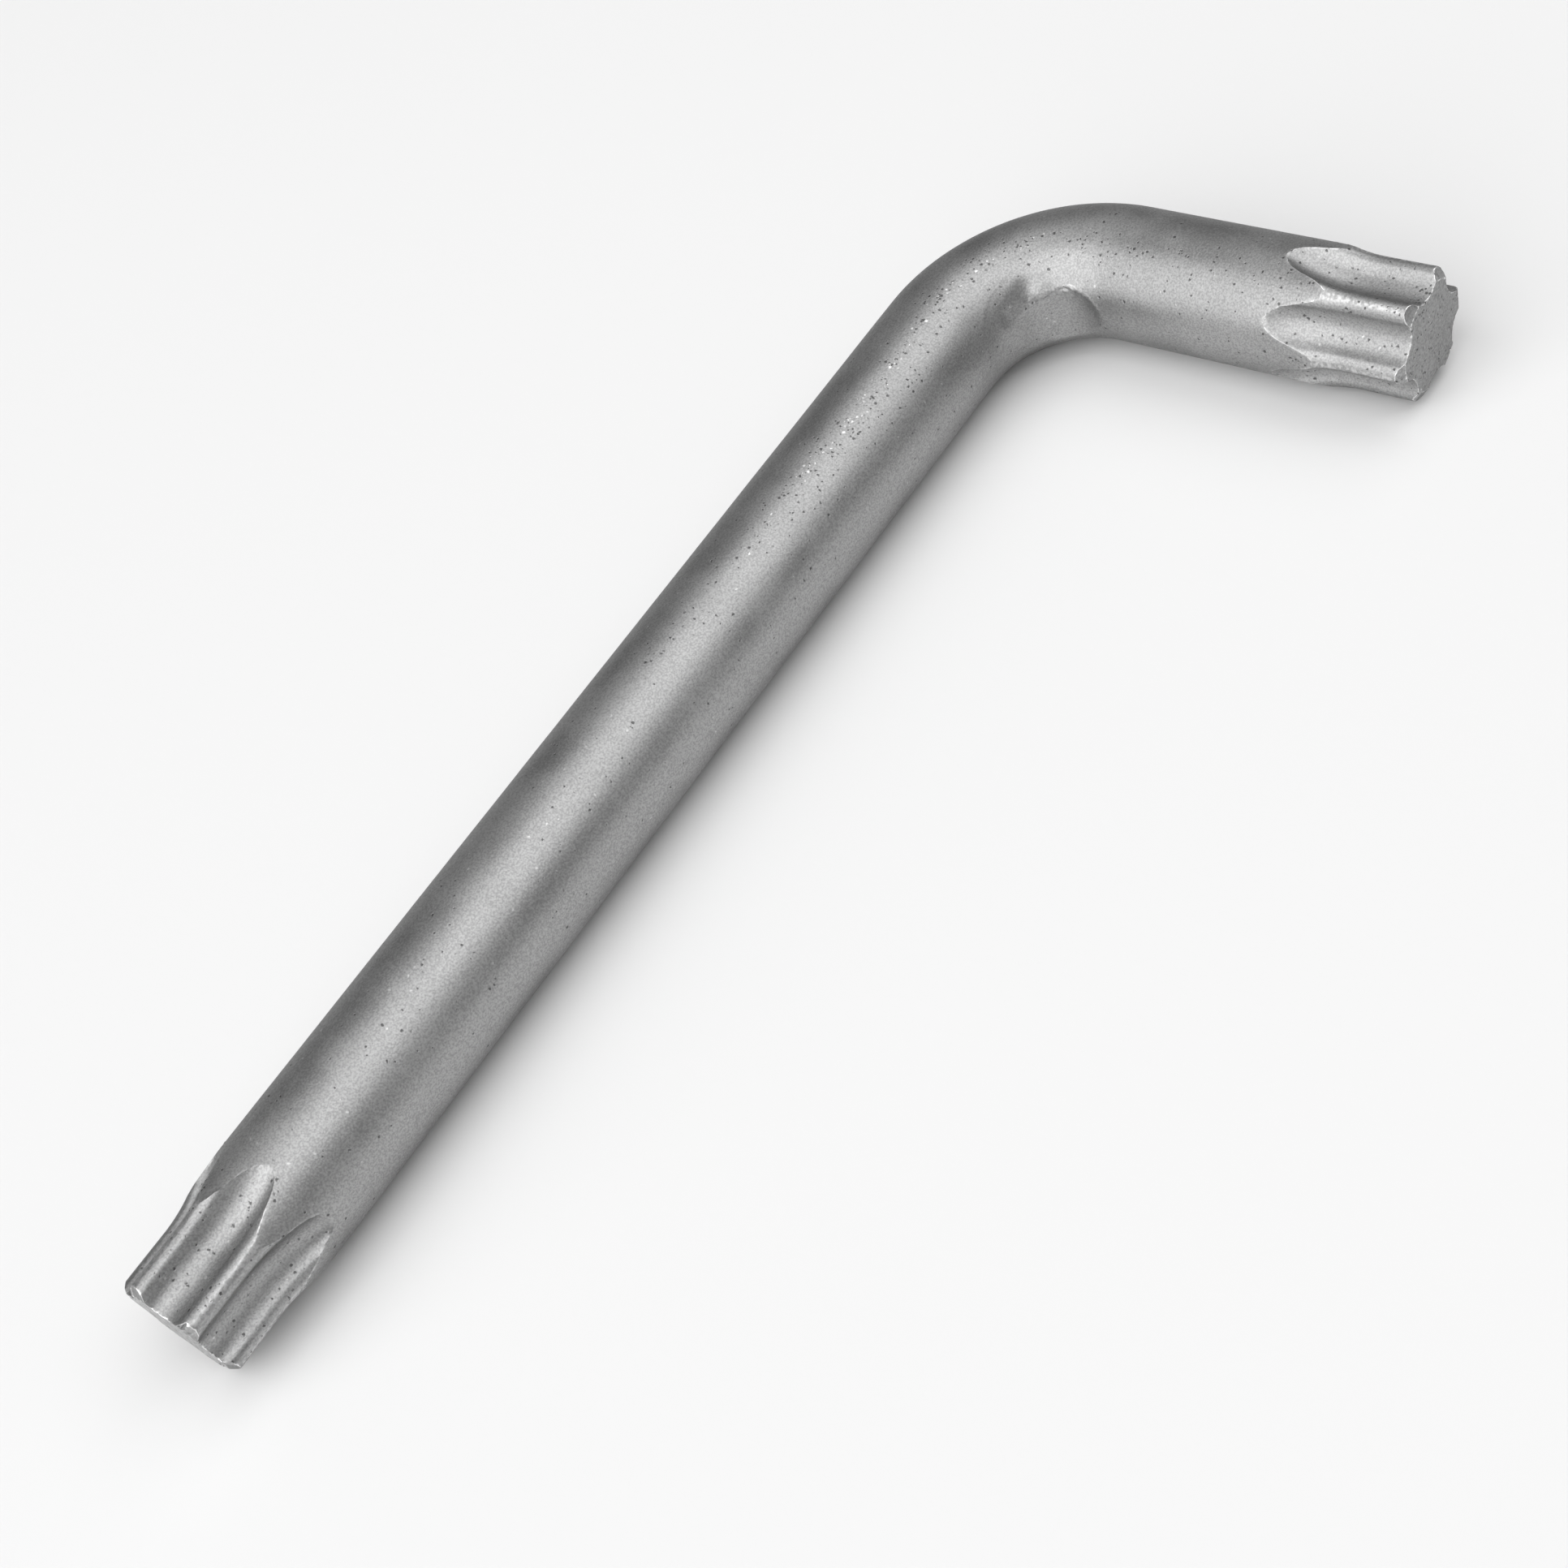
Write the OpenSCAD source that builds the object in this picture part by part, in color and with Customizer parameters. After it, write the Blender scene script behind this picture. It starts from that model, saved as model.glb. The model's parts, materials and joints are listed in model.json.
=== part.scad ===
// Star key: a round bar bent to an L, with a six-lobe star forged on both ends.
// It lies flat: the long arm along X, the short arm towards -Y, the bend at +X.

/* [Bar] */
// Diameter of the round bar
bar_d = 11.6; // [11.3:0.1:14]
// Overall length of the long arm, from its tip to the outside of the bend
long_l = 123; // [70:0.5:220]
// Overall length of the short arm, from its tip to the outside of the bend
short_l = 46.3; // [38:0.1:90]
// Radius of the bend along the middle of the bar
bend_r = 12.7; // [9:0.1:18]

/* [Star] */
// Diameter across the lobes
star_d = 11.1; // [10:0.05:11.4]
// Diameter across the bottoms of the flutes
waist_d = 7.75; // [7.2:0.05:8.2]
// Rounding of each lobe
lobe_r = 0.9; // [0.7:0.05:1.1]
// Width of the narrow land on top of each lobe
land_w = 0.3; // [0.2:0.05:0.5]
// Length over which the flutes keep their full depth
flute_l = 5; // [3:0.1:12]
// Radius of the arc on which each flute runs out
runout_r = 14.5; // [9:0.5:24]
// Turn of the long arm's star, from the inside of the bend to the upper side
long_star_angle = 42; // [0:1:60]
// Turn of the short arm's star, from the inside of the bend to the upper side
short_star_angle = 2; // [0:1:60]

/* [Tips] */
// Length of the tip chamfer along the bar
chamfer_l = 0.5; // [0.2:0.05:1]
// Width of the tip chamfer across the bar
chamfer_w = 0.9; // [0.3:0.05:1.2]

/* [Bending mark] */
// Diameter of the mandrel that flattens the inside of the bend
mark_d = 8.6; // [6:0.1:12]
// Depth of the flat at its deepest
mark_depth = 0.75; // [0.2:0.05:1.2]
// Place of the flat along the bend, from the long arm
mark_angle = 58; // [30:1:60]

/* [Hidden] */
$fn = 96;
overrun = 1; // how far a cut runs past the face that it cuts
lobes = 6;
half_pitch = 180 / lobes; // angle from a lobe to the next flute
bar_r = bar_d / 2;
star_r = star_d / 2;
tip_r = star_r - chamfer_w;
reach = bar_r + overrun;

// Arms without the bend, and the centre of the bend
long_straight = long_l - bar_r - bend_r;
short_straight = short_l - bar_r - bend_r;
bend_x = long_l / 2 - bar_r - bend_r;
bend_y = short_l / 2 - bar_r - bend_r;

// Star profile: lobe arcs that run tangent into flute arcs, cut off by the land on each lobe
tangent_lap = 0.002; // overlap of a lobe arc and a flute arc where they meet
lobe_c = sqrt(star_r ^ 2 - (land_w / 2) ^ 2) - sqrt(lobe_r ^ 2 - (land_w / 2) ^ 2);
lobe_x = lobe_c * cos(half_pitch);
lobe_y = lobe_c * sin(half_pitch);
flute_r = (lobe_c ^ 2 + waist_d ^ 2 / 4 - lobe_x * waist_d - lobe_r ^ 2)
    / (2 * lobe_r - waist_d + 2 * lobe_x);
flute_c = waist_d / 2 + flute_r;
flute_side = half_pitch - asin(land_w / 4 / star_r);

// Run-out: each flute swings out of the bar about a pivot beside it
pivot_r = waist_d / 2 + runout_r;
swing = acos(1 - (reach - waist_d / 2) / runout_r);

// Neck: turned down to the star, it flares up to the bar on the radius on which the lobes swing out
neck_lag = 0.3; // the flare starts this much after the run-out does
neck_l = flute_l + neck_lag;
flare_r = pivot_r - star_r * cos(half_pitch);

// Centre of the mandrel, from the centre of the bend
mark_c = bend_r - bar_r + mark_depth - mark_d / 2;

// One flute across the bar, open outwards, with half of the lobe on either side
module flute_profile() {
    difference() {
        polygon([[0, 0], reach * [1, tan(flute_side)], reach * [1, -tan(flute_side)]]);
        for (side = [-1, 1]) translate([lobe_x, side * lobe_y]) circle(lobe_r + tangent_lap);
        difference() {
            polygon([[0, 0], [lobe_x, lobe_y], [flute_c, 0], [lobe_x, -lobe_y]]);
            translate([flute_c, 0]) circle(flute_r);
        }
    }
}

// Cutter for one flute: straight from the tip, then out of the bar on an arc
module flute() {
    translate([0, 0, -overrun]) linear_extrude(flute_l + overrun) flute_profile();
    translate([pivot_r, 0, flute_l])
        rotate([90, 0, 180])
            rotate_extrude(angle = swing) translate([pivot_r, 0]) mirror([1, 0]) flute_profile();
}

// Cutter for the end of the bar: chamfered tip, neck and flare
module neck() {
    rotate_extrude() {
        polygon([[tip_r, -overrun], [tip_r, 0], [star_r, chamfer_l], [star_r, neck_l],
            [reach, neck_l], [reach, -overrun]]);
        intersection() {
            translate([star_r + flare_r, neck_l]) circle(flare_r);
            translate([star_r, neck_l]) square([reach - star_r, flare_r]);
        }
    }
}

// One arm along Z from the bend, with the star at its end turned to the given angle
module arm(length, star_angle) {
    difference() {
        difference() {
            cylinder(r = bar_r, h = length);
            at_tip(length, star_angle) neck();
        }
        for (i = [1:lobes]) at_tip(length, star_angle + (2 * i - 1) * half_pitch) flute();
    }
}

// Puts a cutter, which starts at the origin, on the end of an arm and faces it back along the arm
module at_tip(length, turn_angle) {
    translate([0, 0, length]) mirror([0, 0, 1]) rotate(turn_angle) children();
}

// The quarter turn between the arms, with the mandrel's flat on its inside
module bend() {
    difference() {
        rotate_extrude(angle = 90) translate([bend_r, 0]) circle(bar_r);
        rotate(90 - mark_angle) translate([mark_c, 0])
            cylinder(d = mark_d, h = bar_d + overrun, center = true);
    }
}

module star_key() {
    color("silver") translate([0, 0, bar_r]) {
        translate([bend_x, bend_y + bend_r, 0])
            rotate([90, 0, -90]) arm(long_straight, long_star_angle);
        translate([bend_x, bend_y, 0]) bend();
        translate([bend_x + bend_r, bend_y, 0])
            rotate([90, 180, 0]) arm(short_straight, -short_star_angle);
    }
}

star_key();
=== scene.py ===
import json
import math

import bpy
from mathutils import Euler, Matrix, Vector, noise


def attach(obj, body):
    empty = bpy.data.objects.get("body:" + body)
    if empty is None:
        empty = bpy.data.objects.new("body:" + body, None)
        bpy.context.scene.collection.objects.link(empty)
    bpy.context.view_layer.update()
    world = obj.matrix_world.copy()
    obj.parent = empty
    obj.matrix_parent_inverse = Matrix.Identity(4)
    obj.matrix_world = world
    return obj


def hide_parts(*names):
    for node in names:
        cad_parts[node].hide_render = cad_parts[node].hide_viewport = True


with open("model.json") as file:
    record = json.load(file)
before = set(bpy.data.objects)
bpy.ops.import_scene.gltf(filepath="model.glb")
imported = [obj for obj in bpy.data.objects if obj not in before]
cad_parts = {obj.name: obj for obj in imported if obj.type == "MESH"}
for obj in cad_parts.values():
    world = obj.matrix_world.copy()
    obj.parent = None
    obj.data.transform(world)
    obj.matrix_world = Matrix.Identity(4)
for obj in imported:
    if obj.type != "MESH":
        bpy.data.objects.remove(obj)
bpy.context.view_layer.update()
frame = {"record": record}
mm = 0.001

# places that the frame gives
mounts = {m["name"]: m for m in frame["record"]["mounts"]}
longTip = Vector(mounts["long_tip_face"]["pos_m"])
shortTip = Vector(mounts["short_tip_face"]["pos_m"])
barR = mounts["shank"]["dims"]["r_mm"] * mm
print("frame loaded, bar diameter", round(2 * barR / mm, 2), "mm")


def lerp(a, b, t):
    return a + (b - a) * t


def smooth(t):
    t = min(max(t, 0), 1)
    return t * t * (3 - 2 * t)


def fade(t, start, end):                         # 1 up to the start, 0 from the end on
    return 1 - smooth((t - start) / (end - start))


def grey(value):
    return (value, value, value, 1)


bar = {
    "columns": 360,             # one a degree, so that both stars fall on whole columns
    "bendR": 12.7 * mm,
    "longRows": 75,
    "bendRows": 66,
    "shortRows": 12,
    "weld": 0.001 * mm,
    "wave": 0.009 * mm,         # the drawn bar isn't quite even
    "waveSize": 4.5 * mm,
    "smoothAngle": 50,
}

star = {
    "lobes": 6,
    "diameter": 11.1 * mm,      # across the lobes
    "waist": 7.75 * mm,         # across the bottoms of the flutes
    "lobeR": 0.9 * mm,
    "landW": 0.3 * mm,
    "fluteL": 5 * mm,           # full depth from the tip
    "runoutR": 14.5 * mm,
    "neckLag": 0.3 * mm,        # the flare of the lands starts this much later
    "chamferL": 0.5 * mm,
    "chamferW": 0.9 * mm,
    "length": 14.5 * mm,        # everything forged lies within this of the tip
    "landColumns": 1,           # columns from the middle of a lobe, the flute has the rest
    "lobeColumns": 11,
    "roundRows": 5,             # rows over a rounded edge, the wall of a flute and the plain bar
    "wallRows": 26,
    "barRows": 8,
    "faceIn": 0.5 * mm,         # inner ring of the end face
    "tipRound": 0.06 * mm,
    "tipRagged": 0.28 * mm,     # and broken away further here and there
    "rimWander": 0.12 * mm,     # the rims of the flutes aren't quite even
    "wanderSteps": 18,          # degrees between two swings of the rim
    "rimRagged": 0.22 * mm,
    "raggedSteps": 2.2,
    "chip": 0.75 * mm,          # nicks at the tips of the lobes
    "chipSteps": 5,
    "chipFrom": 0.10,
    "chipColumns": (6, 12),     # they end between these columns
    "leanColumns": 8,           # the lean of a flute sets in over these
    "tipWearAndHighlight": 1.0,             # edges that are rubbed bright, with painted highlight on them
    "tipWearAndHighlightRows": 2,
    "crestWearAndHighlight": 0.45,
    "crestColumns": 4,
    "rimWearAndHighlightRows": 3,
    "forkColumns": (7, 14),     # the rubbed rim with painted highlight beside a lobe ends between these
    "forkGap": 2,               # and sets in over these
}

# rows and columns that follow from these
halfPitchColumns = bar["columns"] // star["lobes"] // 2
firstWallRow = 1 + 2 * star["roundRows"]
firstRimRow = firstWallRow + star["wallRows"] - 1
firstBarRow = firstRimRow + star["roundRows"]
starRows = firstBarRow + star["barRows"]
rowStep = star["length"] / (starRows - 1)

# the bend, along the middle of the bar
bendStart = Vector((shortTip.x - bar["bendR"], longTip.y, longTip.z))
bendCentre = bendStart - Vector((0, bar["bendR"], 0))
bendEnd = Vector((shortTip.x, bendCentre.y, longTip.z))


def extrude(move, times):
    for i in range(times):
        bpy.ops.mesh.extrude_region_move(TRANSFORM_OT_translate={"value": move})


# The plain bar: a ring extruded along the long arm, spun through the bend and extruded along the short arm
def addBar():
    bpy.ops.object.select_all(action="DESELECT")
    bpy.ops.mesh.primitive_circle_add(vertices=bar["columns"], radius=barR, fill_type="NGON",
                                      location=longTip, rotation=(0, math.radians(90), 0))
    key = bpy.context.active_object
    key.name = "starKey"
    bpy.ops.object.transform_apply(location=True, rotation=True, scale=True)
    bpy.ops.object.mode_set(mode="EDIT")
    bpy.ops.mesh.select_all(action="SELECT")
    longStep = (bendStart.x - longTip.x - star["length"]) / bar["longRows"]
    extrude((rowStep, 0, 0), starRows - 1)
    extrude((longStep, 0, 0), bar["longRows"])
    bpy.ops.mesh.spin(steps=bar["bendRows"], angle=math.radians(90), center=bendCentre, axis=(0, 0, 1))
    shortStep = (bendEnd.y - shortTip.y - star["length"]) / bar["shortRows"]
    extrude((0, -shortStep, 0), bar["shortRows"])
    extrude((0, -rowStep, 0), starRows - 1)
    bpy.ops.mesh.select_all(action="SELECT")
    bpy.ops.mesh.remove_doubles(threshold=bar["weld"])
    bpy.ops.mesh.normals_make_consistent(inside=False)
    bpy.ops.object.mode_set(mode="OBJECT")
    return key


# Half of a lobe and half of a flute, seen along the bar: the flute's middle is on +X, the lobe at 30 degrees
def starOutline():
    pitch = math.radians(180 / star["lobes"])
    starR = star["diameter"] / 2
    waistR = star["waist"] / 2
    lobeR = star["lobeR"]
    halfLand = star["landW"] / 2
    lobeC = math.sqrt(starR ** 2 - halfLand ** 2) - math.sqrt(lobeR ** 2 - halfLand ** 2)
    lobe = Vector((lobeC * math.cos(pitch), lobeC * math.sin(pitch)))
    fluteR = (lobeC ** 2 + waistR ** 2 - 2 * lobe.x * waistR - lobeR ** 2) / (2 * (lobeR - waistR + lobe.x))
    flute = Vector((waistR + fluteR, 0))
    toFlute = flute - lobe
    meet = math.atan2(toFlute.y, toFlute.x)      # where the two arcs run into each other
    landEdge = pitch - math.asin(halfLand / lobeR)
    points = []
    for i in range(star["landColumns"]):
        a = pitch - i / star["landColumns"] * math.asin(halfLand / starR)
        points.append(Vector((starR * math.cos(a), starR * math.sin(a))))
    for i in range(star["lobeColumns"]):
        a = lerp(landEdge, meet, i / star["lobeColumns"])
        points.append(lobe + lobeR * Vector((math.cos(a), math.sin(a))))
    fluteColumns = halfPitchColumns - star["landColumns"] - star["lobeColumns"]
    for i in range(fluteColumns + 1):
        a = lerp(math.pi + meet, math.pi, i / fluteColumns)
        points.append(flute + fluteR * Vector((math.cos(a), math.sin(a))))
    return points


# A few points on the curve from a to b that a corner draws in
def roundOff(a, corner, b):
    points = []
    for i in range(star["roundRows"]):
        t = i / (star["roundRows"] - 1)
        points.append(lerp(lerp(a, corner, t), lerp(corner, b, t), t))
    return points


def roundCorner(before, corner, after, size):
    a = corner + (before - corner).normalized() * min(size, (before - corner).length / 2)
    b = corner + (after - corner).normalized() * min(size, (after - corner).length / 2)
    return roundOff(a, corner, b)


# One column of the star from the end face to the plain bar, as points across (x, y) and along (z) the bar
def starColumn(start, column, wander, chip, tipRound, rimRound, lean):
    starR = star["diameter"] / 2
    pivotR = star["waist"] / 2 + star["runoutR"]
    tipR = starR - star["chamferW"] - chip
    radius = start.length
    out = start.normalized()
    if radius > tipR:                            # the chamfer cuts the lobe
        foot = out * tipR
        wallZ = (radius - tipR) * star["chamferL"] / star["chamferW"]
    else:
        foot = start
        wallZ = star["chamferL"]
    inner = out * (foot.length - star["faceIn"])
    if column < star["landColumns"]:             # the land flares up to the bar
        swingR = pivotR - starR * math.cos(math.radians(180 / star["lobes"]))
        startZ = star["fluteL"] + star["neckLag"]
        base, rise = Vector((0, 0)), out
        startX, exitX = radius, barR
    else:                                        # the flute swings out of the bar
        swingR = pivotR - start.x
        startZ = star["fluteL"] + lean
        base, rise = Vector((0, start.y)), Vector((1, 0))
        startX, exitX = start.x, math.sqrt(barR ** 2 - start.y ** 2)
    exitTurn = math.acos(1 - (exitX - startX) / swingR)

    def onWall(along):                           # point at a distance along the wall from the end face
        turn = max(along - startZ, 0) / swingR
        flat = base + rise * (startX + swingR * (1 - math.cos(turn)))
        return Vector((flat.x, flat.y, min(along, startZ) + swingR * math.sin(turn)))

    wallL = startZ + swingR * exitTurn + wander
    rim = onWall(wallL)
    rimOut = Vector((rim.x, rim.y)).normalized() * barR
    rim = Vector((rimOut.x, rimOut.y, rim.z))
    face = Vector((inner.x, inner.y, 0))
    corner = Vector((foot.x, foot.y, 0))
    shoulder = onWall(wallZ)
    end = Vector((rim.x, rim.y, star["length"]))
    points = [face]
    points += roundCorner(face, corner, shoulder, tipRound)
    points += roundCorner(corner, shoulder, onWall(wallZ + 2 * tipRound), tipRound)
    for i in range(1, star["wallRows"]):
        points.append(onWall(lerp(wallZ + tipRound, wallL - rimRound, i / star["wallRows"])))
    rimEnd = rim + (end - rim).normalized() * min(rimRound, (end - rim).length / 2)
    points += roundOff(onWall(wallL - rimRound), rim, rimEnd)
    for i in range(1, star["barRows"] + 1):
        points.append(lerp(rimEnd, end, i / star["barRows"]))
    return points


# Pairs below are for the two sides of a flute
longEnd = {
    "turn": 42,                 # degrees from the inside of the bend to a lobe
    "seed": 0.5,
    "rimRound": (0.10 * mm, 0.02 * mm),
    "rimWearAndHighlight": 0.0,
    # rubbed rim with painted highlight on one side of the flute only
    "forkWearAndHighlight": (1.0, 0.0),
    "lean": (0.6 * mm, 0),      # the flutes run out later on one side than on the other
    "paintedFaceHighlight": 1.0,            # painted highlight: the end face is painted bright
}

shortEnd = {
    "turn": 2,
    "seed": 5.5,
    "rimRound": (0.07 * mm, 0.07 * mm),
    "rimWearAndHighlight": 0.4,
    "forkWearAndHighlight": (0.9, 0.9),
    "lean": (0, 0),
    "paintedFaceHighlight": 0.0,
}


def uneven(degree, steps, end, layer):
    return noise.noise(Vector((degree / steps, end["seed"], layer)))


# The column at one degree of an end, as ragged as it is there
def raggedColumn(start, column, degree, share, end):
    slow = uneven(degree, star["wanderSteps"], end, layer=0)
    fast = uneven(degree, star["raggedSteps"], end, layer=3)
    nick = uneven(degree, star["chipSteps"], end, layer=7)
    wander = star["rimWander"] * slow + star["rimRagged"] * fast
    chip = star["chip"] * max(nick - star["chipFrom"], 0) * fade(column, *star["chipColumns"])
    tipRound = star["tipRound"] + star["tipRagged"] * max(fast, 0)
    rimRound = lerp(*end["rimRound"], share)
    lean = lerp(*end["lean"], share) * smooth(column / star["leanColumns"])
    return starColumn(start, column, wander, chip, tipRound, rimRound, lean)


# How much an edge is rubbed bright and painted as a highlight, from the row and column that a point is in
def rubbedAndHighlit(row, column, side, end, chamfered):
    middle = star["roundRows"] // 2
    # the end face takes the painted highlight
    if row <= 1:
        return end["paintedFaceHighlight"]
    if row < firstWallRow:
        fromEdge = abs(row - 1 - middle)
        if chamfered:                            # the chamfer has a second edge
            fromEdge = min(fromEdge, abs(row - firstWallRow + 1 + middle))
        return star["tipWearAndHighlight"] * fade(fromEdge, 0, star["tipWearAndHighlightRows"])
    crest = star["crestWearAndHighlight"] * fade(column, 0, star["crestColumns"]) if row < firstRimRow else 0
    fork = fade(column, *star["forkColumns"]) * smooth(column / star["forkGap"])
    fork *= end["forkWearAndHighlight"][side > 0]
    rim = max(end["rimWearAndHighlight"], fork) * fade(abs(row - firstRimRow - middle), 0, star["rimWearAndHighlightRows"])
    return max(crest, rim)


# Forges one end: every ring near the tip is moved onto the star
def forgeStar(key, tip, along, inside, end, wearAndHighlight):
    outline = starOutline()
    pitch = 360 // star["lobes"]
    up = Vector((0, 0, 1))
    columns = {}
    for v in key.data.vertices:
        depth = (v.co - tip).dot(along)
        if depth > star["length"] + rowStep / 2:
            continue
        across = v.co - tip - along * depth
        row = round(depth / rowStep)
        degree = round(math.degrees(math.atan2(across.dot(up), across.dot(inside)))) % 360
        part = (degree - end["turn"]) % pitch    # degrees past a lobe
        side = -1 if part <= pitch // 2 else 1   # of the flute
        column = part if side < 0 else pitch - part
        if degree not in columns:
            share = smooth(2 * part / pitch - 0.5)               # from one side of the flute to the other
            columns[degree] = raggedColumn(outline[column], column, degree, share, end)
        point = columns[degree][row]
        angle = degree - part + pitch / 2 + side * math.degrees(math.atan2(point.y, point.x))
        if row >= firstBarRow:                   # the columns even out on the plain bar
            angle = lerp(angle, degree, smooth((row - firstBarRow + 1) / star["barRows"]))
        turned = inside * math.cos(math.radians(angle)) + up * math.sin(math.radians(angle))
        v.co = tip + along * point.z + turned * math.hypot(point.x, point.y)
        chamfered = outline[column].length > star["diameter"] / 2 - star["chamferW"]
        # rubbed edges, with painted highlight
        wearAndHighlight[v.index] = rubbedAndHighlit(row, column, side, end, chamfered)


# Sides are -1 at the long arm and 1 at the short one, heights are above the middle of the bar
mark = {
    "mandrelR": 4.3 * mm,
    "depth": 0.75 * mm,
    "angle": 58,                # degrees along the bend from the long arm
    "reach": 2 * mm,            # nothing further from the mandrel is touched
    "edge": 0.06 * mm,          # crisp towards the short arm
    "softEdge": 0.40 * mm,      # and drawn out towards the long one
    "softSides": (-0.6, -0.2),
    "scab": 0.30 * mm,          # ragged upper edge
    "scabSize": 0.40 * mm,
    "scabReach": 0.50 * mm,
    "scabHeight": 2 * mm,
    "scabSides": (0.2, 0.7),    # it ends between these
    "rubbedAndHighlit": 0.12 * mm,        # width of the rubbed line along the crisp edge, painted bright as a highlight
    "rubbedWearAndHighlight": 0.5,
    "rubbedAndHighlitHeight": 1 * mm,
    "rubbedAndHighlitSide": 0.3,
}


# The mandrel's flat on the inside of the bend
def pressMark(key, wearAndHighlight, scabs):
    a = math.radians(90 - mark["angle"])
    towards = Vector((math.cos(a), math.sin(a), 0))              # from the centre of the bend to the flat
    sideways = Vector((math.sin(a), -math.cos(a), 0))            # to the short arm
    axis = bendCentre + towards * (bar["bendR"] - barR + mark["depth"] - mark["mandrelR"])
    for v in key.data.vertices:
        away = Vector((v.co.x - axis.x, v.co.y - axis.y, 0))
        gap = away.length - mark["mandrelR"]
        if gap > mark["reach"] or away.dot(towards) < 0:
            continue
        side = away.dot(sideways) / mark["mandrelR"]
        height = v.co.z - longTip.z
        edge = lerp(mark["edge"], mark["softEdge"], fade(side, *mark["softSides"]))
        if height > mark["scabHeight"]:
            nearEdge = fade(abs(gap), 0, mark["scabReach"]) * fade(side, *mark["scabSides"])
            gap += mark["scab"] * noise.noise(v.co / mark["scabSize"]) * nearEdge
            scabs[v.index] = nearEdge
        pushed = (gap + math.sqrt(gap ** 2 + edge ** 2)) / 2     # out of the mandrel, rounded at its edge
        v.co += away.normalized() * (pushed - gap)
        # painted highlight: a rubbed line along the crisp edge, bright on its upper part only
        if side > 0 and height > mark["rubbedAndHighlitHeight"]:
            line = fade(abs(gap - mark["rubbedAndHighlit"] / 2), 0, mark["rubbedAndHighlit"])
            line *= mark["rubbedWearAndHighlight"] * smooth(side / mark["rubbedAndHighlitSide"])
            wearAndHighlight[v.index] = max(wearAndHighlight[v.index], line)


fold = {
    "start": (41, 37),          # degrees along the bend, and from its inside to the upper side
    "end": (25, 22),
    "width": 1.5 * mm,
    "depth": 0.14 * mm,
}


def onBend(along, around):
    a, b = math.radians(along), math.radians(around)
    out = Vector((math.sin(a), math.cos(a), 0))
    return bendCentre + out * (bar["bendR"] - barR * math.cos(b)) + Vector((0, 0, barR * math.sin(b)))


# The shallow fold that the mandrel leaves towards the long arm
def pressFold(key):
    start, end = onBend(*fold["start"]), onBend(*fold["end"])
    normals = [v.normal.copy() for v in key.data.vertices]
    for v, normal in zip(key.data.vertices, normals):
        share = (v.co - start).dot(end - start) / (end - start).length_squared
        away = (v.co - lerp(start, end, min(max(share, 0), 1))).length
        v.co -= normal * fold["depth"] * fade(away, 0, fold["width"])


# Slow waves over the whole skin
def waveSkin(key):
    normals = [v.normal.copy() for v in key.data.vertices]
    for v, normal in zip(key.data.vertices, normals):
        v.co += normal * bar["wave"] * noise.noise(v.co / bar["waveSize"])


key = addBar()
print("bar:", len(key.data.vertices), "points")
wearAndHighlight = [0.0] * len(key.data.vertices)            # how far each point is rubbed bright and painted as a highlight
scabs = [0.0] * len(key.data.vertices)           # and how near it is to the ragged edge of the flat
forgeStar(key, longTip, Vector((1, 0, 0)), Vector((0, -1, 0)), longEnd, wearAndHighlight)
forgeStar(key, shortTip, Vector((0, 1, 0)), Vector((-1, 0, 0)), shortEnd, wearAndHighlight)
pressMark(key, wearAndHighlight, scabs)
pressFold(key)
waveSkin(key)
bpy.ops.object.shade_smooth_by_angle(angle=math.radians(bar["smoothAngle"]))
print("key forged")


# Noises are a scale per metre and a detail
# The ridge and the line are at degrees around the bar, from its inside to the upper side
satin = {
    "dark": 0.32,               # greys of the plate
    "light": 0.455,
    # near white, brighter than the plate can be: rubbed edges with painted highlight
    "wornAndHighlit": 0.98,
    "pit": 0.133,
    "edgeTint": 0.45,           # how much of the glance at the outline is left
    "rough": (0.42, 0.50),
    "wornRough": 0.30,
    "grain": (6200, 2),
    "cloud": (190, 3),
    "cloudShare": 0.2,
    "toneSpread": (0.35, 0.65),
    "patch": (700, 2),          # pits and flecks lie in patches
    "ragged": 0.6,              # how far a spot's outline strays, in cells
    "raggedScale": 2,           # against the scale of the cells
    "spotCore": 0.4,            # share of a spot that is full
    "pitScale": 2400,
    "pitSize": 0.40,            # in cells, at most
    "pitPatch": (0.45, 0.62),
    "pitShare": (0.2, 1.0),     # of the cells, between the patches and in them
    "pitsElsewhere": 0.3,       # against the ridge at the bend
    "pitsOnFace": 0.8,          # the short arm's end face
    "faceDepth": 0.1 * mm,
    "ridge": 62,
    "ridgeWidth": 36,
    "ridgeEnds": (12.5 * mm, 37.5 * mm),        # along the long arm from the bend
    "speckShare": 0.04,
    "speckWear": 0.35,
    "fleckScale": 3100,         # small pits and bright flecks
    "fleckSize": 0.62,
    "fleckPatch": (0.42, 0.6),
    "fleckShare": (0.08, 0.8),
    "fleckWear": 0.6,
    "brightShare": 0.8,         # bright flecks for each dark one
    "line": 74,
    "lineWidth": 20,
    "lineOnLong": (20 * mm, 60 * mm),           # it ends between these, from the bend
    "lineOnShort": (-20 * mm, 20 * mm),
    "flecksOnStar": 0.45,       # only dark ones
    "fleckedEnd": (2.9 * mm, 17.4 * mm),        # from the tip
    "flake": (2800, 1),         # breaks the rubbed edges up
    "flakeEdge": (0.40, 0.58),
    "flakeLeast": 0.2,
    "bumpUnit": 0.01 * mm,
    "grainHeight": 1.0,
    "pitDepth": 2.5,
}


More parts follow.
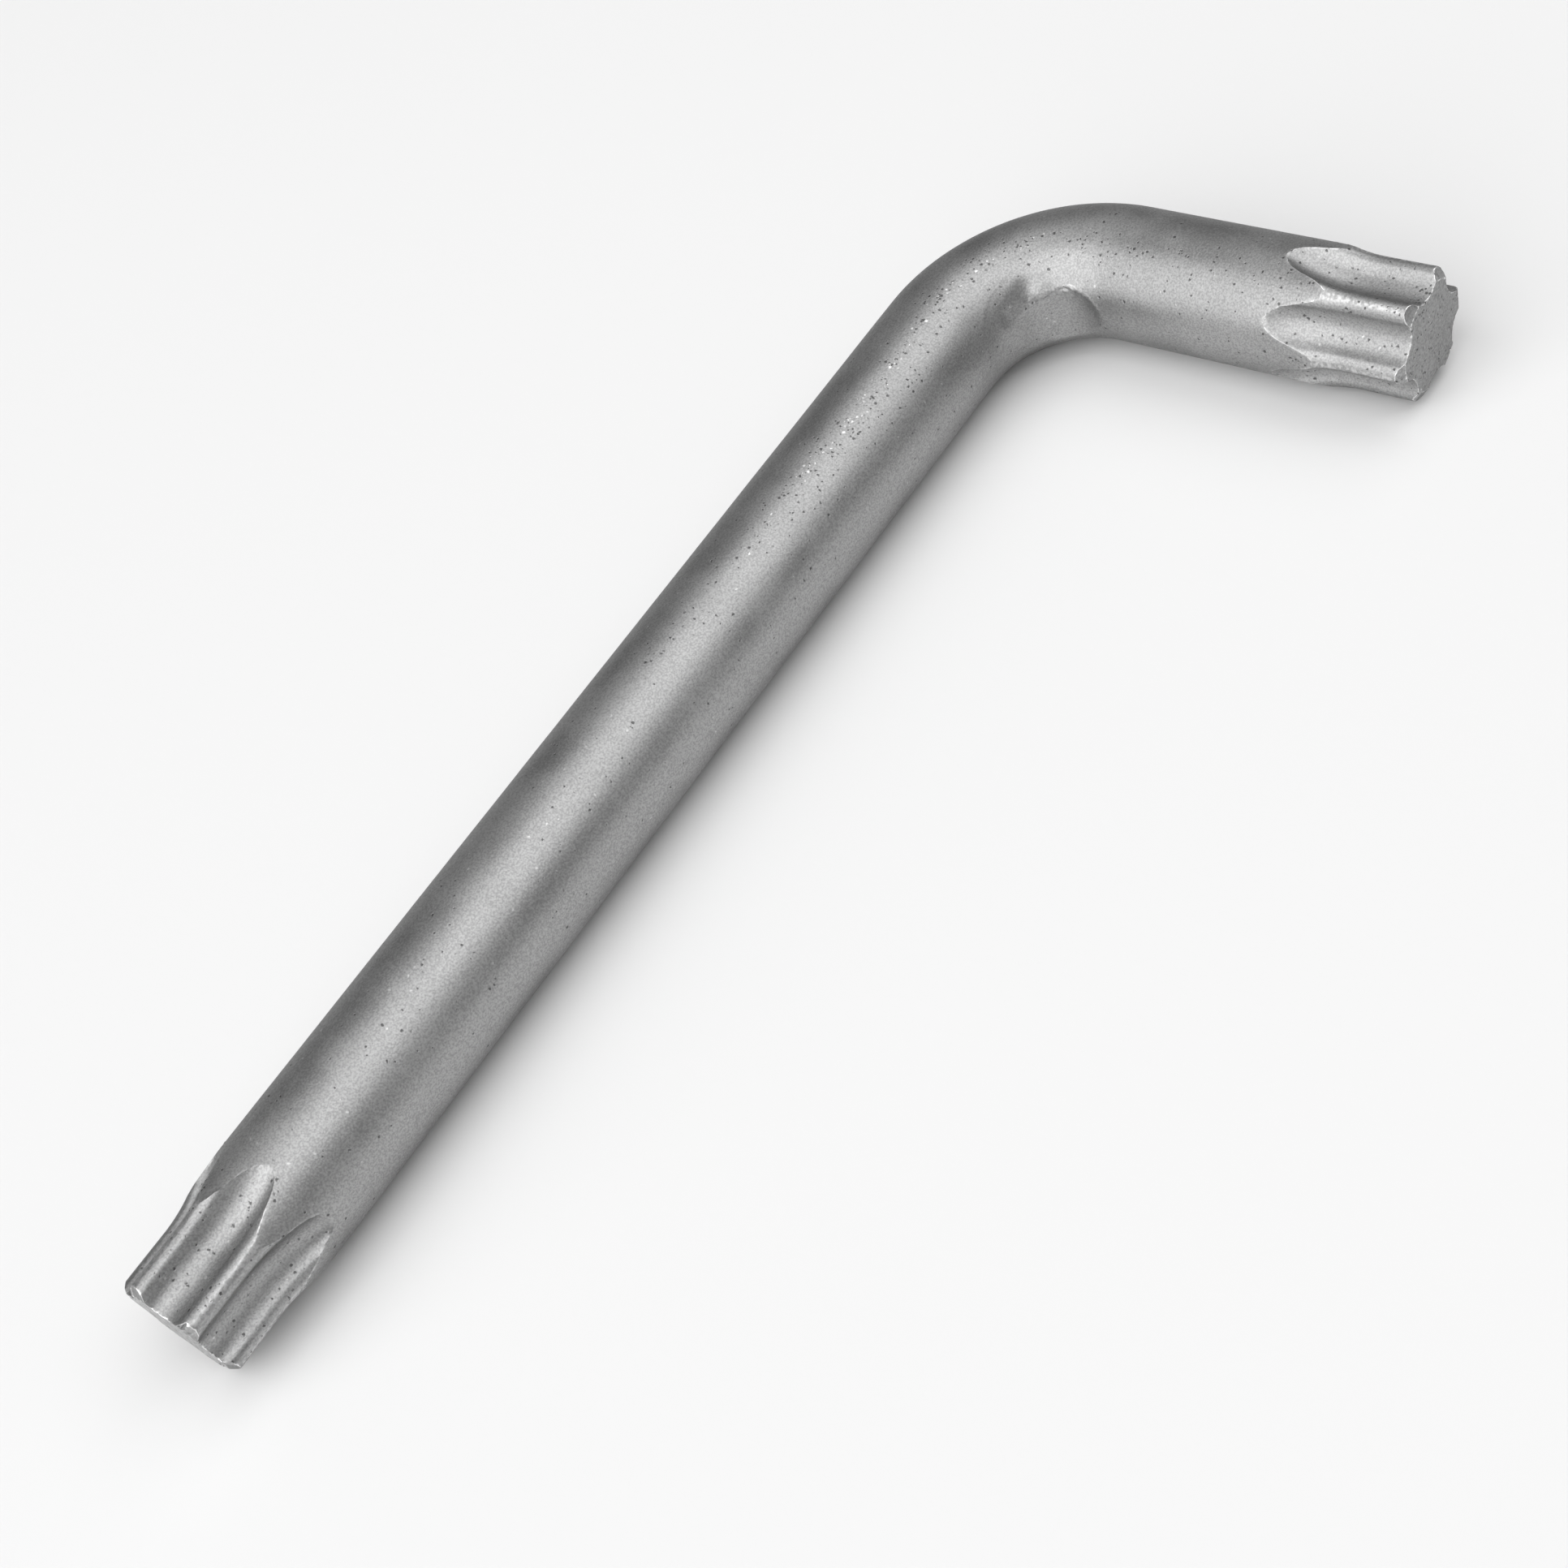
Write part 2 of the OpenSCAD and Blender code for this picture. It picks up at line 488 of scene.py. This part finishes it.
def aroundBar(co):
    if co.x < bendStart.x:
        inward = longTip.y - co.y
    elif co.y < bendEnd.y:
        inward = shortTip.x - co.x
    else:
        inward = bar["bendR"] - math.hypot(co.x - bendCentre.x, co.y - bendCentre.y)
    return math.degrees(math.atan2(co.z - longTip.z, inward))


# How thickly pits lie: most of all along the upper side from the long arm into the short one
def pitted(co):
    if co.y < shortTip.y + satin["faceDepth"]:
        return satin["pitsOnFace"]
    ridge = fade(abs(aroundBar(co) - satin["ridge"]), 0, satin["ridgeWidth"])
    nearBend = fade(bendStart.x - co.x, *satin["ridgeEnds"])
    return lerp(satin["pitsElsewhere"], 1, ridge * nearBend)


# How thickly flecks lie: in a narrow line from the long arm into the short one, and on the stars
def flecked(co):
    line = fade(abs(aroundBar(co) - satin["line"]), 0, satin["lineWidth"])
    line *= fade(bendStart.x - co.x, *satin["lineOnLong"])
    line *= fade(bendEnd.y - co.y, *satin["lineOnShort"])
    fromTip = min((co - longTip).length, (co - shortTip).length)
    return max(line, satin["flecksOnStar"] * fade(fromTip, *satin["fleckedEnd"]))


def paintPoints(key, name, values):
    key.data.attributes.new(name, "FLOAT", "POINT").data.foreach_set("value", values)


# rubbed edges with painted highlight, as a point attribute
paintPoints(key, "wearAndHighlight", wearAndHighlight)
paintPoints(key, "pitted", [max(scab, pitted(v.co)) for scab, v in zip(scabs, key.data.vertices)])
paintPoints(key, "flecked", [flecked(v.co) for v in key.data.vertices])
print("wear and pits placed")


# Chrome plate over blasted steel: fine grain, cloudy tone, small pits and bright specks, rubbed edges with
# painted highlight
def satinChrome():
    mat = bpy.data.materials.new("satinChrome")
    mat.use_nodes = True
    nodes, links = mat.node_tree.nodes, mat.node_tree.links
    shader = nodes["Principled BSDF"]
    place = nodes.new("ShaderNodeTexCoord").outputs["Object"]

    def put(value, socket):
        if isinstance(value, bpy.types.NodeSocket):
            links.new(value, socket)
        else:
            socket.default_value = value

    def noiseOf(scale, detail):
        node = nodes.new("ShaderNodeTexNoise")
        node.inputs["Scale"].default_value = scale
        node.inputs["Detail"].default_value = detail
        links.new(place, node.inputs["Vector"])
        return node.outputs["Fac"]

    def attribute(name):
        node = nodes.new("ShaderNodeAttribute")
        node.attribute_name = name
        return node.outputs["Fac"]

    def between(value, low, high, atLow, atHigh):
        node = nodes.new("ShaderNodeMapRange")
        node.interpolation_type = "SMOOTHSTEP"
        put(value, node.inputs["Value"])
        put(low, node.inputs["From Min"])
        put(high, node.inputs["From Max"])
        put(atLow, node.inputs["To Min"])
        put(atHigh, node.inputs["To Max"])
        return node.outputs["Result"]

    def calc(operation, a, b):
        node = nodes.new("ShaderNodeMath")
        node.operation = operation
        put(a, node.inputs[0])
        put(b, node.inputs[1])
        return node.outputs["Value"]

    def mix(share, a, b):
        node = nodes.new("ShaderNodeMix")
        node.data_type = "RGBA"
        put(share, node.inputs["Factor"])
        put(a, node.inputs["A"])
        put(b, node.inputs["B"])
        return node.outputs["Result"]

    def spotsOf(scale, size):                    # one spot in each cell, and the cell's lot
        stray = nodes.new("ShaderNodeTexNoise")
        stray.inputs["Scale"].default_value = satin["raggedScale"] * scale
        links.new(place, stray.inputs["Vector"])
        shift = nodes.new("ShaderNodeVectorMath")
        shift.operation = "MULTIPLY_ADD"
        links.new(stray.outputs["Color"], shift.inputs[0])
        shift.inputs[1].default_value = (satin["ragged"] / scale,) * 3
        links.new(place, shift.inputs[2])
        cells = nodes.new("ShaderNodeTexVoronoi")
        cells.inputs["Scale"].default_value = scale
        links.new(shift.outputs["Vector"], cells.inputs["Vector"])
        draw = nodes.new("ShaderNodeSeparateColor")
        links.new(cells.outputs["Color"], draw.inputs["Color"])
        radius = calc("MULTIPLY", draw.outputs["Green"], size)
        core = calc("MULTIPLY", radius, satin["spotCore"])
        return between(cells.outputs["Distance"], core, radius, 1.0, 0.0), draw.outputs["Red"]

    grain = noiseOf(*satin["grain"])
    cloud = noiseOf(*satin["cloud"])
    patch = noiseOf(*satin["patch"])

    # pits where the lot is low, and a few bright specks where it is highest
    spot, lot = spotsOf(satin["pitScale"], satin["pitSize"])
    pitShare = between(patch, *satin["pitPatch"], *satin["pitShare"])
    pitShare = calc("MULTIPLY", attribute("pitted"), pitShare)
    pit = calc("MULTIPLY", spot, calc("LESS_THAN", lot, pitShare))
    speck = calc("MULTIPLY", spot, calc("GREATER_THAN", lot, 1 - satin["speckShare"]))
    speck = calc("MULTIPLY", speck, satin["speckWear"])

    # flecks the same way, dark and bright
    spot, lot = spotsOf(satin["fleckScale"], satin["fleckSize"])
    fleckShare = between(patch, *satin["fleckPatch"], *satin["fleckShare"])
    dark = calc("LESS_THAN", lot, calc("MULTIPLY", attribute("flecked"), fleckShare))
    brightShare = between(attribute("flecked"), satin["flecksOnStar"], 1.0, 0.0, satin["brightShare"])
    brightShare = calc("MULTIPLY", brightShare, fleckShare)
    bright = calc("GREATER_THAN", lot, calc("SUBTRACT", 1.0, brightShare))
    bright = calc("MULTIPLY", bright, satin["fleckWear"])
    pit = calc("MAXIMUM", pit, calc("MULTIPLY", spot, dark))
    speck = calc("MAXIMUM", speck, calc("MULTIPLY", spot, bright))

    flake = between(noiseOf(*satin["flake"]), *satin["flakeEdge"], satin["flakeLeast"], 1.0)
    # rubbed edges with painted highlight, broken up in flakes, and the bright specks
    wornAndHighlit = calc("MULTIPLY", attribute("wearAndHighlight"), flake)
    wornAndHighlit = calc("MAXIMUM", wornAndHighlit, speck)

    tone = calc("MULTIPLY", grain, 1 - satin["cloudShare"])
    tone = calc("ADD", tone, calc("MULTIPLY", cloud, satin["cloudShare"]))
    tone = between(tone, *satin["toneSpread"], 0.0, 1.0)
    colour = mix(tone, grey(satin["dark"]), grey(satin["light"]))
    # painted highlight: rubbed edges and the bright specks go towards near white
    colour = mix(wornAndHighlit, colour, grey(satin["wornAndHighlit"]))
    colour = mix(pit, colour, grey(satin["pit"]))
    rough = between(cloud, *satin["toneSpread"], *satin["rough"])
    rough = between(wornAndHighlit, 0.0, 1.0, rough, satin["wornRough"])
    height = calc("MULTIPLY", grain, satin["grainHeight"])
    height = calc("SUBTRACT", height, calc("MULTIPLY", pit, satin["pitDepth"]))
    bump = nodes.new("ShaderNodeBump")
    bump.inputs["Strength"].default_value = 1
    bump.inputs["Distance"].default_value = satin["bumpUnit"]
    links.new(height, bump.inputs["Height"])

    shader.inputs["Metallic"].default_value = 1
    shader.inputs["Specular Tint"].default_value = grey(satin["edgeTint"])
    links.new(colour, shader.inputs["Base Color"])
    links.new(rough, shader.inputs["Roughness"])
    links.new(bump.outputs["Normal"], shader.inputs["Normal"])
    return mat


key.data.materials.clear()
key.data.materials.append(satinChrome())
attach(key, "root")
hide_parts("star_key")
print("key finished")


studio = {
    "floorSize": 8.0,
    "floorDrop": 0.02 * mm,
    "floorColour": 0.80,
    "world": 0.225,
    "softboxes": {              # azimuth 0 is +Y and 90 is +X, sizes in metres, power in watts
        "leftSoftbox": {"azimuth": -86, "elevation": 43, "distance": 1.4,
                        "width": 2.08, "height": 2.60, "power": 32},
        "rightSoftbox": {"azimuth": 120, "elevation": 60.6, "distance": 1.4,
                         "width": 1.68, "height": 1.28, "power": 10.8},
    },
}


def addFloor():
    bpy.ops.object.select_all(action="DESELECT")
    bpy.ops.mesh.primitive_plane_add(size=studio["floorSize"], location=(0, 0, -studio["floorDrop"]))
    floor = bpy.context.active_object
    floor.name = "floor"
    mat = bpy.data.materials.new("floorPaper")
    mat.use_nodes = True
    shader = mat.node_tree.nodes["Principled BSDF"]
    shader.inputs["Base Color"].default_value = grey(studio["floorColour"])
    shader.inputs["Roughness"].default_value = 1
    shader.inputs["Specular IOR Level"].default_value = 0
    floor.data.materials.append(mat)


def addSoftbox(name, box):
    around, up = math.radians(box["azimuth"]), math.radians(box["elevation"])
    away = Vector((math.sin(around) * math.cos(up), math.cos(around) * math.cos(up), math.sin(up)))
    bpy.ops.object.light_add(type="AREA", location=away * box["distance"])
    lamp = bpy.context.active_object
    lamp.name = name
    lamp.data.shape = "RECTANGLE"
    lamp.data.size = box["width"]
    lamp.data.size_y = box["height"]
    lamp.data.energy = box["power"]
    lamp.rotation_euler = away.to_track_quat("Z", "Y").to_euler()


def addWorld():
    world = bpy.data.worlds.new("studio")
    bpy.context.scene.world = world
    world.use_nodes = True
    background = world.node_tree.nodes["Background"]
    background.inputs["Color"].default_value = grey(studio["world"])
    background.inputs["Strength"].default_value = 1


camera = {
    "aim": (-2.98 * mm, 2.53 * mm, 5.95 * mm),
    "distance": 182 * mm,
    "azimuth": -33.16,          # degrees, 0 looks along +Y
    "elevation": 48.29,
    "roll": -27.60,
    "lens": 53.78,              # millimetres, as the sensor
    "sensor": 36,
    "clipStart": 10 * mm,
}


def addCamera():
    turn = Euler((math.radians(90 - camera["elevation"]), 0, math.radians(camera["azimuth"]))).to_matrix()
    back = turn @ Vector((0, 0, 1))
    bpy.ops.object.camera_add(location=Vector(camera["aim"]) + back * camera["distance"])
    cam = bpy.context.active_object
    cam.rotation_euler = (turn @ Matrix.Rotation(math.radians(camera["roll"]), 3, "Z")).to_euler()
    cam.data.lens = camera["lens"]
    cam.data.sensor_width = camera["sensor"]
    cam.data.clip_start = camera["clipStart"]
    bpy.context.scene.camera = cam


addFloor()
addWorld()
for name, box in studio["softboxes"].items():
    addSoftbox(name, box)
addCamera()
bpy.context.scene.view_settings.view_transform = "Standard"
print("studio ready")
